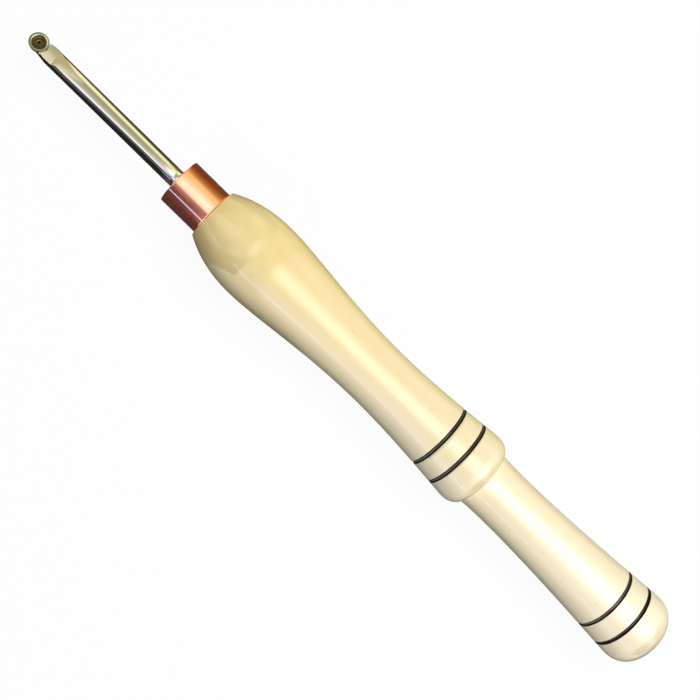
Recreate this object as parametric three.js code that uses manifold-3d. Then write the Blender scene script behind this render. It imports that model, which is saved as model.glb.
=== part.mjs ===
// Hollowing tool for the wood lathe, in millimetres.
// +X runs along the tool towards the cutter and +Z is up, out of the cutter's face.
// The origin is on the surface that the tool lies on, under the middle of its length.

import * as THREE from 'three';
import { mergeVertices } from 'three/addons/utils/BufferGeometryUtils.js';
import Module from 'manifold-3d';

const wasm = await Module();
wasm.setup();

// Lengths along the tool
const handleLength = 317.1; // from the wood's front shoulder to the butt
const ferruleLength = 23;
const barReach = 93.8; // from the ferrule's front to the cutter's centre
const tangLength = 100; // from the ferrule's front into the handle

// The gap that stands for a seated or glued joint between two pieces
const gap = 0.3;

// Handle outline: radius and distance behind the wood's front.
// It runs level at the places with arrive and leave, which are the lengths of the level pull on each side.
const shoulder = { radius: 14.4, at: 0 };
const swell = { radius: 22.5, at: 33.4, arrive: 2.3, leave: 18.4 };
const waist = { radius: 16.8, at: 115.7, arrive: 36.3, leave: 29.9 };
const bead = { radius: 21, at: 182.2, arrive: 4.2, leave: 5 };
const foot = { radius: 16.1, at: 190.8 };
const neck = { radius: 15.5, at: 206.7, arrive: 5.5, leave: 39.5 };
const butt = { radius: 20.3, at: 302.8, arrive: 4.2, leave: 8 };

// Curve handles at the places where the outline doesn't run level
const shoulderPull = { radius: 23.1, at: 14.6 };
const beadBackPull = { radius: 18.9, at: 189.6 };
const footPull = { radius: 15.75, at: 193.8 };
const buttEndPull = { radius: 16, at: handleLength };

// Burnt grooves
const groovesAt = [159.4, 172.2, 281.7, 294.8];
const grooveWidth = 2.2;
const grooveFloor = 0.8;
const grooveDepth = 0.5;

// Ferrule and the tenon under it
const ferruleDiameter = 25.4;
const ferruleWall = 1.6;
const ferruleEdge = 0.5;
const tenonRecess = 0.5; // how far the tenon's end stays behind the ferrule's front
const tenonChamfer = 0.8;

// Bar
const barDiameter = 9.525;
const tangDiameter = 12.7;
const tangChamfer = 1;
const drillPoint = THREE.MathUtils.degToRad(59); // half of the drill's point angle
const boreSpare = 1; // depth of bore behind the tang

// Tip of the bar: distances behind the cutter's centre, heights over the bar's axis
const flatHeight = 2.6;
const flatEnd = { behind: 10.6, height: flatHeight };
const flatPull = { behind: 11.3, height: flatHeight };
const runOutStart = { behind: 11.9, height: 2.95 };
const runOutPull = { behind: 13.6, height: 3.95 };
const runOutFade = { behind: 18.5, height: 4.62 };
const runOutEnd = { behind: 31.5, height: 4.8 };
const restHeight = -4.05; // flat on the underside, for the lathe's tool rest
const restStart = 76;
const restRunOut = 3;
const reliefStart = 9;
const reliefRise = 1.65;
const noseTaperStart = 9;
const noseWidth = 6.4;
const pocketRadius = 5.45;

// Cutter
const insertDiameter = 10;
const insertThickness = 2.4;
const insertRelief = THREE.MathUtils.degToRad(10);
const insertProud = 0.15; // how far its top stands over the flat
const landRadius = 4.25; // inner edge of the ground land behind the cutting edge
const landDrop = 0.03;
const dishMouth = 3.75;
const mouthDrop = 0.1;
const dishFloor = 3.1;
const dishDepth = 0.45;

// Clamp screw, a socket screw with a 90 degree head
const headRadius = 2.2;
const shankRadius = 1.25;
const screwLength = 4.9;
const socketWidth = 1.6; // across the flats
const socketDepth = 1.1;
const socketMouth = 1.2;
const socketChamfer = 0.15;
const headEdge = 0.1;
const tipChamfer = 0.3;

// Facets round each turned piece
const handleSides = 48;
const barSides = 48;
const insertSides = 60;
const screwSides = 36;

// Steps along each curve
const handleSteps = 8;
const ferruleSteps = 4;
const filletSteps = 6;
const runOutSteps = 16;
const noseSteps = 24;

// Colours and finishes for a plain view
const finishes = {
  handle: { color: '#e3d9b4', roughness: 0.35, metalness: 0 },
  ferrule: { color: '#c87a4a', roughness: 0.25, metalness: 1 },
  tool_bar: { color: '#c9c6b8', roughness: 0.2, metalness: 1 },
  cutter_insert: { color: '#9c9a86', roughness: 0.3, metalness: 0.9 },
  cutter_screw: { color: '#6e6a58', roughness: 0.35, metalness: 0.9 },
};

// Places along the tool
const overallLength = handleLength + ferruleLength + barReach + insertDiameter / 2;
const woodFront = handleLength - overallLength / 2;
const ferruleFront = woodFront + ferruleLength;
const cutterCentre = ferruleFront + barReach;

// The tool lies on a facet of the handle's swell
const axisHeight = swell.radius * Math.cos(Math.PI / handleSides);

const barRadius = barDiameter / 2;
const tangRadius = tangDiameter / 2;
const boreRadius = tangRadius + gap;
const ferruleRadius = ferruleDiameter / 2;
const tenonRadius = ferruleRadius - ferruleWall - gap;
const insertTop = flatHeight + insertProud;
const insertSeat = insertTop - insertThickness;
const screwTop = insertTop - dishDepth;
const holeRadius = shankRadius + gap;

const point = (radius, station) => new THREE.Vector2(radius, station);

// Revolves an outline of (radius, station) points. A half turn of one facet puts a flat facet underneath.
function revolve(outline, sides) {
  const ordered = THREE.ShapeUtils.area(outline) > 0 ? outline : [...outline].reverse();
  return new THREE.LatheGeometry(ordered, sides, Math.PI / sides);
}

const turnedAlongX = (outline, sides) => revolve(outline, sides).rotateZ(-Math.PI / 2);
const turnedAlongZ = (outline, sides) => revolve(outline, sides).rotateX(Math.PI / 2);

// A shape drawn in X and Z, made as wide as given along Y
function extrudedAcross(shape, width) {
  const options = { depth: width, bevelEnabled: false, curveSegments: runOutSteps };
  return new THREE.ExtrudeGeometry(shape, options).rotateX(Math.PI / 2).translate(0, width / 2, 0);
}

// A shape drawn in X and Y, made as high as given along Z
function extrudedUpright(shape, height) {
  const options = { depth: height, bevelEnabled: false, curveSegments: noseSteps };
  return new THREE.ExtrudeGeometry(shape, options).translate(0, 0, -height / 2);
}

// A closed geometry as a solid for cutting and joining
function toSolid(geometry) {
  const bare = geometry.clone();
  bare.deleteAttribute('normal');
  bare.deleteAttribute('uv');
  const merged = mergeVertices(bare, 1e-4);
  const corners = merged.index.array;
  const kept = [];
  for (let i = 0; i < corners.length; i += 3) {
    const [a, b, c] = corners.slice(i, i + 3);
    if (a !== b && b !== c && c !== a) kept.push(a, b, c);
  }
  const vertProperties = merged.attributes.position.array;
  return new wasm.Manifold(new wasm.Mesh({ numProp: 3, vertProperties, triVerts: Uint32Array.from(kept) }));
}

function toGeometry(solid) {
  const mesh = solid.getMesh();
  const geometry = new THREE.BufferGeometry();
  geometry.setAttribute('position', new THREE.BufferAttribute(mesh.vertProperties, 3));
  geometry.setIndex(new THREE.BufferAttribute(mesh.triVerts, 1));
  geometry.computeVertexNormals();
  return geometry;
}

function named(name, geometry) {
  const mesh = new THREE.Mesh(geometry, new THREE.MeshStandardMaterial(finishes[name]));
  mesh.name = name;
  return mesh;
}

// Handle

// Adds a smooth stretch that starts and ends with the given curve handles.
function curve(path, first, second, end) {
  path.bezierCurveTo(first.radius, first.at, second.radius, second.at, end.radius, end.at);
}

const leaving = (place) => ({ radius: place.radius, at: place.at + place.leave });
const arriving = (place) => ({ radius: place.radius, at: place.at - place.arrive });

function cutGroove(outline, at) {
  const half = grooveWidth / 2;
  const floor = grooveFloor / 2;
  const before = outline.filter((p) => p.y < at - half);
  const after = outline.filter((p) => p.y > at + half);
  const from = before.at(-1);
  const radius = (station) => THREE.MathUtils.mapLinear(station, from.y, after[0].y, from.x, after[0].x);
  return [
    ...before,
    point(radius(at - half), at - half),
    point(radius(at - floor) - grooveDepth, at - floor),
    point(radius(at + floor) - grooveDepth, at + floor),
    point(radius(at + half), at + half),
    ...after,
  ];
}

// The turned outside, from the front shoulder to the middle of the butt
function handleOutside() {
  const path = new THREE.Path();
  path.moveTo(shoulder.radius, shoulder.at);
  curve(path, shoulderPull, arriving(swell), swell);
  curve(path, leaving(swell), arriving(waist), waist);
  curve(path, leaving(waist), arriving(bead), bead);
  curve(path, leaving(bead), beadBackPull, foot);
  curve(path, footPull, arriving(neck), neck);
  curve(path, leaving(neck), arriving(butt), butt);
  curve(path, leaving(butt), buttEndPull, { radius: 0, at: handleLength });
  return groovesAt.reduce(cutGroove, path.getPoints(handleSteps));
}

function handle() {
  const tenonEnd = tenonRecess - ferruleLength;
  const boreEnd = tangLength - ferruleLength + boreSpare;
  const boreTip = boreEnd + boreRadius / Math.tan(drillPoint);
  const outline = [
    point(0, boreTip),
    point(boreRadius, boreEnd),
    point(boreRadius, tenonEnd),
    point(tenonRadius - tenonChamfer, tenonEnd),
    point(tenonRadius, tenonEnd + tenonChamfer),
    point(tenonRadius, 0),
    ...handleOutside(),
  ];
  const towardsButt = outline.map((p) => point(p.x, -p.y));
  return named('handle', turnedAlongX(towardsButt, handleSides));
}

// Ferrule

function ferrule() {
  const inner = ferruleRadius - ferruleWall;
  const back = gap;
  const path = new THREE.Path();
  path.moveTo(inner, back);
  path.lineTo(ferruleRadius - ferruleEdge / 2, back);
  path.lineTo(ferruleRadius, back + ferruleEdge / 2);
  path.lineTo(ferruleRadius, ferruleLength - ferruleEdge);
  path.quadraticCurveTo(ferruleRadius, ferruleLength, ferruleRadius - ferruleEdge, ferruleLength);
  path.lineTo(inner + ferruleEdge / 2, ferruleLength);
  path.lineTo(inner, ferruleLength - ferruleEdge / 2);
  path.lineTo(inner, back);
  return named('ferrule', turnedAlongX(path.getPoints(ferruleSteps), handleSides));
}

// Bar, with the cutter's centre over the origin of its own frame

function barBlank() {
  const front = -barReach;
  const fillet = tangRadius - barRadius;
  const path = new THREE.Path();
  path.moveTo(0, front - tangLength);
  path.lineTo(tangRadius - tangChamfer, front - tangLength);
  path.lineTo(tangRadius, front - tangLength + tangChamfer);
  path.lineTo(tangRadius, front);
  path.quadraticCurveTo(barRadius, front, barRadius, front + fillet);
  path.lineTo(barRadius, insertDiameter);
  path.lineTo(0, insertDiameter);
  return turnedAlongX(path.getPoints(filletSteps), barSides);
}

// What the mill takes off over the flat and its long run-out
function topCut() {
  const above = barDiameter;
  const at = (place) => [-place.behind, place.height];
  const shape = new THREE.Shape();
  shape.moveTo(2 * insertDiameter, flatHeight);
  shape.lineTo(2 * insertDiameter, above);
  shape.lineTo(-runOutEnd.behind, above);
  shape.lineTo(...at(runOutEnd));
  shape.bezierCurveTo(...at(runOutFade), ...at(runOutPull), ...at(runOutStart));
  shape.quadraticCurveTo(...at(flatPull), ...at(flatEnd));
  return extrudedAcross(shape, 2 * barDiameter);
}

// What comes off underneath: the rest flat, and the relief that rises to the nose
function bottomCut() {
  const below = -barDiameter;
  const front = noseWidth;
  const slope = reliefRise / (reliefStart + noseWidth / 2);
  const shape = new THREE.Shape();
  shape.moveTo(-restStart - restRunOut, below);
  shape.lineTo(front, below);
  shape.lineTo(front, restHeight + slope * (front + reliefStart));
  shape.lineTo(-reliefStart, restHeight);
  shape.lineTo(-restStart, restHeight);
  shape.quadraticCurveTo(-restStart - restRunOut / 2, restHeight, -restStart - restRunOut, -barRadius - gap);
  return extrudedAcross(shape, 2 * barDiameter);
}

// The nose seen from above: the bar tapers in and ends in a half circle under the cutter
function nosePlan() {
  const half = noseWidth / 2;
  const clear = barDiameter;
  const back = -barReach - tangLength - 1;
  const shape = new THREE.Shape();
  shape.moveTo(back, -clear);
  shape.lineTo(-noseTaperStart - 1, -clear);
  shape.lineTo(-noseTaperStart, -barRadius);
  shape.quadraticCurveTo(-half, -half, 0, -half);
  shape.absarc(0, 0, half, -Math.PI / 2, Math.PI / 2, false);
  shape.quadraticCurveTo(-half, half, -noseTaperStart, barRadius);
  shape.lineTo(-noseTaperStart - 1, clear);
  shape.lineTo(back, clear);
  return extrudedUpright(shape, 2 * barDiameter);
}

function upright(radius, from, to, sides) {
  return turnedAlongZ([point(0, from), point(radius, from), point(radius, to), point(0, to)], sides);
}

function toolBar() {
  const pocket = upright(pocketRadius, insertSeat - gap, barDiameter, insertSides);
  const screwHole = upright(holeRadius, -barDiameter, barDiameter, screwSides);
  const solid = toSolid(barBlank())
    .subtract(toSolid(topCut()))
    .subtract(toSolid(bottomCut()))
    .intersect(toSolid(nosePlan()))
    .subtract(toSolid(pocket))
    .subtract(toSolid(screwHole));
  return named('tool_bar', toGeometry(solid));
}

// Cutter, with its underside at zero

function cutterInsert() {
  const top = insertThickness;
  const radius = insertDiameter / 2;
  const floor = top - dishDepth;
  // The countersink keeps the gap to the screw's 90 degree head, measured square to the cone.
  const sinkGap = gap * Math.SQRT2;
  const sinkRadius = headRadius + sinkGap;
  const outline = [
    point(radius - insertThickness * Math.tan(insertRelief), 0),
    point(radius, top),
    point(landRadius, top - landDrop),
    point(dishMouth, top - mouthDrop),
    point(dishFloor, floor),
    point(sinkRadius, floor),
    point(holeRadius, floor - (sinkRadius - holeRadius)),
    point(holeRadius, 0),
  ];
  const closed = [...outline, outline[0]];
  return named('cutter_insert', turnedAlongZ(closed, insertSides));
}

// Screw, with the top of its head at zero

function cutterScrew() {
  const coneEnd = -headEdge - (headRadius - shankRadius);
  const tip = -screwLength;
  const blank = turnedAlongZ([
    point(0, -socketChamfer),
    point(socketWidth / 2, -socketChamfer),
    point(socketMouth, 0),
    point(headRadius - headEdge, 0),
    point(headRadius, -headEdge),
    point(shankRadius, coneEnd),
    point(shankRadius, tip + tipChamfer),
    point(shankRadius - tipChamfer, tip),
    point(0, tip),
  ], screwSides);
  const socket = upright(socketWidth / Math.sqrt(3), -socketDepth, 1, 6);
  const solid = toSolid(blank).subtract(toSolid(socket));
  return named('cutter_screw', toGeometry(solid));
}

// Assembly

function place(mesh, x, z) {
  mesh.position.set(x, 0, z);
  return mesh;
}

const tool = new THREE.Group();
tool.position.z = axisHeight;
tool.add(
  place(handle(), woodFront, 0),
  place(ferrule(), woodFront, 0),
  place(toolBar(), cutterCentre, 0),
  place(cutterInsert(), cutterCentre, insertSeat),
  place(cutterScrew(), cutterCentre, screwTop),
);

const part = new THREE.Group();
part.add(tool);

export default part;
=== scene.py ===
# %% [markdown]
# # A hollowing tool for the wood lathe
#
# A turner holds this tool by its long maple handle and reaches with the round steel bar into a spinning bowl.
# A small round cutter of carbide on the bar's milled nose does the cutting. There are five real pieces: the
# handle, a copper ferrule that keeps the wood from splitting, the bar, the cutter, and the screw that clamps
# it.
#
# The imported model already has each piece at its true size. It is the frame that everything here is fitted to.

import math

import bmesh
import bpy
from mathutils import Matrix, Vector


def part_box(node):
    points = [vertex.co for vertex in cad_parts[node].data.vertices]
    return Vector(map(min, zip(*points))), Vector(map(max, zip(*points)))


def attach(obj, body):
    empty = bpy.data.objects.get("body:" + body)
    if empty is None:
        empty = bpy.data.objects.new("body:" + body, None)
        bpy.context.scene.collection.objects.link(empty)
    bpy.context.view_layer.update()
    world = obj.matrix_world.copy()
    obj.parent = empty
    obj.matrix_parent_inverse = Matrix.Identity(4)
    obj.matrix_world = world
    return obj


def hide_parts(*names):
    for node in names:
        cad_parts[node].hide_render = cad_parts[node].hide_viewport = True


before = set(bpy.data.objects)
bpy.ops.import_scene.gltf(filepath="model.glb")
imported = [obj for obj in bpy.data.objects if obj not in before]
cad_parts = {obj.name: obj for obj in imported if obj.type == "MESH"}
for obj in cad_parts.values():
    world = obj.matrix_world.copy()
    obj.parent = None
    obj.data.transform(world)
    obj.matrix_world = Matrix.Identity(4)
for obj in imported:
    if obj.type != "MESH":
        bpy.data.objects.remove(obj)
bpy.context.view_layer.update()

# %% [markdown]
# ## One place to measure from
#
# Blender works in metres, and a maker thinks in millimetres. All sizes below are in millimetres, and one
# function turns them into a place: so far along the tool, so far to its left, and so far over the axis of the
# handle. The height of the axis and the two stations that everything is measured from are read off the packed
# model. A station is a place along the tool.

# %% The tool's axis and its stations
MM = 0.001
AXIS = sum(corner.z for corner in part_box("handle")) / 2 / MM
FERRULE_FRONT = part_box("ferrule")[1].x / MM
CUTTER = sum(corner.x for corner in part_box("cutter_insert")) / 2 / MM
FERRULE_LENGTH = 23
WOOD_FRONT = FERRULE_FRONT - FERRULE_LENGTH


def spot(along, left=0, over=0):
    """A place in metres from millimetres: along the tool, to its left, and over its axis."""
    return Vector((along, left, AXIS + over)) * MM


print(f"axis {AXIS:.2f} mm up, wood starts at {WOOD_FRONT:.2f}, cutter at {CUTTER:.2f}")

# %% [markdown]
# ## The camera
#
# The camera comes first, so that each piece can be judged against the photograph as it is made. The four
# burnt rings on the handle are circles that are seen as ellipses. Their shapes say how far away the camera
# was, over which place on the tool, and how far round to its left. The lens is a little longer than normal.

# %% Camera
CAMERA_OVER = 58.6  # the station that the camera is over
CAMERA_DISTANCE = 572.7  # from the tool's axis
CAMERA_ROUND = math.radians(16)  # from upright towards the tool's left
LENS = 58.6
AIM = spot(1.2, 0.4, -0.11)
NOSE_DIRECTION = math.radians(135.59)  # where the nose points in the picture, from its right side

camera_place = spot(
    CAMERA_OVER,
    CAMERA_DISTANCE * math.sin(CAMERA_ROUND),
    CAMERA_DISTANCE * math.cos(CAMERA_ROUND),
)
back = (camera_place - AIM).normalized()
nose = (Vector((1, 0, 0)) - back * back.x).normalized()
side = back.cross(nose)
right = nose * math.cos(NOSE_DIRECTION) - side * math.sin(NOSE_DIRECTION)
up = nose * math.sin(NOSE_DIRECTION) + side * math.cos(NOSE_DIRECTION)
bpy.ops.object.camera_add()
camera = bpy.context.active_object
camera.matrix_world = Matrix.Translation(camera_place) @ Matrix((right, up, back)).transposed().to_4x4()
camera.data.lens = LENS
bpy.context.scene.camera = camera
print("camera at", [round(v, 3) for v in camera_place])

# %% [markdown]
# ## Colours and nodes
#
# Colours are written as on the web, in hex, and one function turns them into the linear numbers that the
# shader works with. A second function adds a node of any kind with its settings, values and links. An input
# that is given another node is linked to that node's first working output.

# %% Helpers for materials
def linear(hex_colour):
    """A colour such as "#c87a4a" as linear red, green, blue and alpha."""
    parts = [int(hex_colour[i:i + 2], 16) / 255 for i in (1, 3, 5)]
    return tuple(p / 12.92 if p <= 0.04045 else ((p + 0.055) / 1.055) ** 2.4 for p in parts) + (1,)


def add(tree, kind, inputs=None, stops=(), **settings):
    """Adds a node. Inputs are values, nodes or sockets. Stops are a Color Ramp's (position, colour) pairs."""
    node = tree.nodes.new(kind)
    for name, value in settings.items():
        setattr(node, name, value)
    for name, value in (inputs or {}).items():
        working = [s for s in node.inputs if s.enabled and s.name == name]
        socket = working[0] if working else node.inputs[name]
        if isinstance(value, bpy.types.Node):
            value = next(s for s in value.outputs if s.enabled)
        if isinstance(value, bpy.types.NodeSocket):
            tree.links.new(value, socket)
        else:
            socket.default_value = value
    for number, (position, colour) in enumerate(stops):
        elements = node.color_ramp.elements
        element = elements[number] if number < len(elements) else elements.new(1)
        element.position = position
        element.color = colour
    return node


def new_material(name):
    """A material whose tree is empty."""
    material = bpy.data.materials.new(name)
    material.use_nodes = True
    material.node_tree.nodes.clear()
    return material, material.node_tree


print("#808080 in linear light is", round(linear("#808080")[0], 3))

# %% [markdown]
# ## Floor and world
#
# The photograph has a plain white ground. The floor and the world are white to the camera and in reflections,
# at a strength of 1, and they light the tool only a little. The floor still takes the tool's soft shadow: to
# the camera it is mostly a white glow, with a share of ordinary paper that a shadow can darken.

# %% World
WORLD_FILL = 0.26

bpy.context.scene.view_settings.view_transform = "Standard"


def seen_directly(tree):
    """1 for the camera's own rays and for those that metal or glass sends on, otherwise 0."""
    path = add(tree, "ShaderNodeLightPath")
    camera_ray, glossy_ray = path.outputs["Is Camera Ray"], path.outputs["Is Glossy Ray"]
    sent_through = path.outputs["Is Transmission Ray"]
    either = add(tree, "ShaderNodeMath", {0: camera_ray, 1: glossy_ray}, operation="MAXIMUM")
    return add(tree, "ShaderNodeMath", {0: either, 1: sent_through}, operation="MAXIMUM")


world = bpy.data.worlds.new("white_room")
bpy.context.scene.world = world
world.use_nodes = True
tree = world.node_tree
tree.nodes.clear()
strength = add(tree, "ShaderNodeMapRange", {"Value": seen_directly(tree), "To Min": WORLD_FILL, "To Max": 1})
white = add(tree, "ShaderNodeBackground", {"Color": linear("#ffffff"), "Strength": strength})
add(tree, "ShaderNodeOutputWorld", {"Surface": white})
print("the world lights the tool at", WORLD_FILL, "and is seen at 1")

# %% Floor
FLOOR_BOUNCE = 0.2  # how white the paper is to the light that it sends on to the tool
PAPER_WHITE = 0.9  # and how white it is when seen
SHADOW_SHARE = 0.05
FLOOR_SIZE = 8  # in metres

floor_paint, tree = new_material("white_paper_floor")
seen = seen_directly(tree)
grey = add(tree, "ShaderNodeMapRange", {"Value": seen, "To Min": FLOOR_BOUNCE, "To Max": PAPER_WHITE})
paper_colour = add(tree, "ShaderNodeCombineColor", {"Red": grey, "Green": grey, "Blue": grey})
paper = add(tree, "ShaderNodeBsdfDiffuse", {"Color": paper_colour})
glow = add(tree, "ShaderNodeEmission", {"Color": linear("#ffffff"), "Strength": 1})
share = add(tree, "ShaderNodeMath", {0: seen, 1: 1 - SHADOW_SHARE}, operation="MULTIPLY")
both = add(tree, "ShaderNodeMixShader", {0: share, 1: paper, 2: glow})
add(tree, "ShaderNodeOutputMaterial", {"Surface": both})
bpy.ops.mesh.primitive_plane_add(size=FLOOR_SIZE, location=(0, 0, 0))
floor = bpy.context.active_object
floor.name = "floor"
floor.data.materials.append(floor_paint)
print("the floor keeps", SHADOW_SHARE, "of the shadow")

# %% [markdown]
# ## Lamps
#
# One large softbox hangs nearly overhead, a little towards the butt, where the photograph is brightest, and a
# weak cool one stands on the tool's left. The power follows from the distance: P = E * pi^2 * d^2 watts light
# a surface that faces the lamp as brightly as its colour is written, times E.

# %% Softboxes
SOFTBOX_DISTANCE = 1500
SOFTBOX_SIZE = 900


def softbox(name, along, angle, level, colour):
    """A square lamp round the tool's axis, at an angle from upright towards the tool's left."""
    turned = math.radians(angle)
    where = spot(along, SOFTBOX_DISTANCE * math.sin(turned), SOFTBOX_DISTANCE * math.cos(turned))
    bpy.ops.object.light_add(type="AREA", location=where)
    lamp = bpy.context.active_object
    lamp.name = name
    lamp.data.size = SOFTBOX_SIZE * MM
    lamp.data.energy = level * math.pi ** 2 * (SOFTBOX_DISTANCE * MM) ** 2
    lamp.data.color = linear(colour)[:3]
    lamp.rotation_euler = (where - spot(0)).to_track_quat("Z", "Y").to_euler()
    lamp.visible_glossy = False
    print(name, "gives", round(lamp.data.energy, 2), "W")


softbox("key_softbox", -320, -13, 0.84, "#fffbf4")
softbox("left_softbox", -100, 58, 0.1, "#e4ecff")

# %% [markdown]
# ## What the metal and the lacquer see
#
# Polished metal has hardly any colour of its own: it shows the room. In a studio that is white and black card
# stood around the object. Here the card is one closed tunnel round the tool, which only reflections see. Its
# glow changes with the angle round the tool, and along the tool, to give each stretch its bright and dark
# bands. A band is an angle from upright towards the tool's left, a colour and a strength.

# %% Card bands
BRIGHTEST = 12  # a Color Ramp stops at 1, so it holds shares of this
DARK = "#3a3630"
LINE = "#e2deff"  # a narrow lilac gap between two cards

# The four stretches that the wood shows, from behind the butt, where the white panel ends, to the swell
FAR_BANDS = [
    (-180, DARK, 0.1), (-118, "#fff8d8", 0.25), (-95, "#fffae0", 0.6), (-60, "#fffcec", 0.9),
    (-28, "#fffef8", 1.3), (-10, "#ffffff", 3.2), (15, "#ffffff", 3.2), (33, "#fffef8", 1.3),
    (66, "#fcfcff", 0.9), (98, "#f8faff", 0.5), (122, "#f8faff", 0.2), (180, DARK, 0.1),
]
REAR_BANDS = [
    (-180, DARK, 0.1), (-134, "#fff6d0", 0.3), (-112, "#fff6d0", 0.7), (-100, "#fff8d8", 1),
    (-85, "#fffae8", 2.1), (-66, "#fffdf2", 3), (-50, "#fffcf0", 4.2), (-30, "#fffcf4", 5.8),
    (-17, "#ffffff", 10.7), (-6, "#ffffff", 11.3), (15, "#ffffff", 11.3), (23, "#ffffff", 9),
    (31, "#fffff8", 6.3), (38, "#fffdf8", 5.7), (54, "#fffcf0", 5.2), (69, "#fffdf0", 5.6),
    (71, LINE, 9), (74, LINE, 9), (76, "#fffdf0", 5.7), (90, "#fffbe8", 5.4), (100, "#fff6dc", 4),
    (110, "#fff6dc", 2.8), (118, "#fff8e4", 1.5), (126, "#fff8e0", 0.6), (137, "#fffae8", 0.2),
    (180, DARK, 0.1),
]
MIDDLE_BANDS = [
    (-180, DARK, 0.1), (-124, "#fffcd0", 0.4), (-112, "#fffcb4", 0.6), (-100, "#fffcb4", 1.3),
    (-84, "#fffbe0", 2.4), (-66, "#fffff4", 2.7), (-50, "#fafffa", 3), (-36, "#fffff4", 2.4),
    (-24, "#fffcf0", 2.6), (-15, "#fffdf4", 4.6), (-8, "#fffdf4", 6.3), (3, "#fffdf8", 7.9),
    (16, "#fffcf6", 7.7), (22, "#fffcf0", 6.2), (30, "#fffcf0", 4.1), (41, "#fbfff8", 4.1),
    (54, "#fafffa", 5.1), (69, "#f6faff", 6.1), (71, LINE, 10), (74, LINE, 10), (76, "#f8fbff", 5.7),
    (88, "#f8fbff", 5.2), (98, "#fbfff4", 4), (105, "#fcfff2", 3.1), (112, "#f8fff6", 2.3),
    (118, "#f8fff6", 1.3), (126, "#f8fff6", 0.5), (138, "#f8ffff", 0.2), (180, DARK, 0.1),
]
FRONT_BANDS = [
    (-180, DARK, 0.1), (-119, "#fff8a0", 0.3), (-107, "#fff8a0", 0.5), (-95, "#fffbb0", 1.4),
    (-89, "#fffbb0", 1.8), (-60, "#fffdd0", 1.8), (-30, "#fffdd4", 1.5), (5, "#fffbe0", 1.4),
    (16, "#fffce4", 1.5), (31, "#f8fff0", 2.2), (47, "#f8fff0", 3.4), (63, "#f4faff", 4),
    (69, "#f2f6ff", 4), (71, LINE, 7.5), (74, LINE, 7.5), (76, "#f6fbff", 3.8), (86, "#f6fbff", 3.6),
    (99, "#fffaf4", 3.4), (109, "#f6fcfa", 1.9), (116, "#f6fcfa", 0.8), (122, "#f6fcfa", 0.2),
    (140, DARK, 0.2), (180, DARK, 0.1),
]
print("the rear stretch has", len(REAR_BANDS), "bands, up to", max(band[2] for band in REAR_BANDS))

# %% Card bands for the ferrule, the bar and the shoulder
FERRULE_BANDS = [
    (-180, "#ffd0c0", 0.12), (-118, "#ffd0c0", 0.2), (-92, "#ffa569", 0.28), (-72, "#ffcb73", 0.43),
    (-55, "#fff799", 0.68), (-40, "#ffffca", 1.6), (-24, "#ffffd9", 1.95), (-11, "#ffffff", 2.45),
    (3, "#fff0ff", 3.4), (21, "#ffeeff", 3.2), (27, "#d8f0ff", 2.3), (33, "#ece8f0", 0.85),
    (39, "#fff4ff", 0.38), (56, "#ffb8e8", 0.22), (69, "#ffc8e8", 0.22), (70.5, "#7fb1ff", 7),
    (72.5, "#7fb1ff", 7), (74, "#f2c8e2", 0.21), (104, "#f6c8db", 0.17), (124, "#f7cee8", 0.13),
    (150, "#f3d9ff", 0.1), (180, "#f3d9ff", 0.1),
]
BAR_BANDS = [
    (-180, "#d0c8b0", 0.1), (-95, "#d8cf96", 0.1), (-82, "#e8e0a0", 0.24), (-73, "#f4eec0", 0.58),
    (-64, "#fffdd0", 1.35), (-57, "#fffdd2", 1.55), (-42, "#fffdd2", 1.5), (-32, "#fffbcc", 0.8),
    (-20, "#fff9c8", 0.53), (0, "#fff9d2", 0.62), (16, "#fffae0", 0.69), (28, "#fffcf2", 0.93),
    (38, "#ffffff", 1.5), (48.5, "#ffffff", 1.6), (54, "#b4acb8", 0.5), (60, "#a8a0a8", 0.2),
    (68, "#a09ca4", 0.1), (70, "#d0ccdc", 0.6), (72, "#d0ccdc", 0.6), (74, "#a0a0a8", 0.07),
    (96, "#c0c0c0", 0.05), (180, "#c0c0c0", 0.05),
]
TIP_BANDS = [
    (-180, "#c8c0a8", 0.1), (-90, "#c8c0a8", 0.15), (-60, "#ece6b0", 0.4), (-34, "#ffffc6", 0.55),
    (-24, "#ffffc8", 0.62), (-20, "#fffac8", 0.72), (-17.5, "#fff8cc", 0.92), (-16, "#fffad4", 1.3),
    (-14, "#fffdde", 1.5), (14, "#fffff0", 1.4), (34, "#f8f6ff", 1.3), (48, "#a09ca8", 0.3),
    (60, "#8c8c90", 0.08), (180, "#909090", 0.06),
]
# The front slope of the handle's swell leans forward, so it shows the card far beyond the tip
SHOULDER_BANDS = [
    (-180, DARK, 0.1), (-140, DARK, 0.2), (-119, "#fffcd0", 0.5), (-104, "#fffcb8", 1.3),
    (-93, "#fffcb8", 1.5), (-76, "#fffabc", 1.5), (-64, "#fff4b8", 1.1), (-52, "#fff0bc", 0.8),
    (-40, "#ffeebe", 0.76), (-30, "#ffeebe", 0.76), (-22, "#ffeebe", 0.72), (-17.5, "#ffeebe", 0.7),
    (-12, "#fffbd8", 1.2), (-3, "#fffdf0", 1.9), (10, "#fffcf0", 2.3), (22, "#fffcf0", 2.2),
    (35, "#ffffe8", 1.3), (48, "#fffbec", 0.6), (61, "#fffff4", 0.6), (69, "#f6faff", 0.9),
    (71, LINE, 3.5), (74, LINE, 3.5), (76, "#f6faff", 1.2), (89, "#fcfffa", 1.3), (106, "#f4ffff", 1),
    (118, "#f4ffff", 0.3), (124, DARK, 0.2), (180, DARK, 0.1),
]
print("the ferrule's stretch has", len(FERRULE_BANDS), "bands, and the bar's", len(BAR_BANDS))

# %% [markdown]
# A polished cylinder shows a place on the card at one station of its own. With the mirror unfolded, the
# camera, that station and the card lie on a straight line, so the station is a mean of the other two,
# weighted by their distances from the axis. The paint works that station out, and mixes the zones by it.

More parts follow.
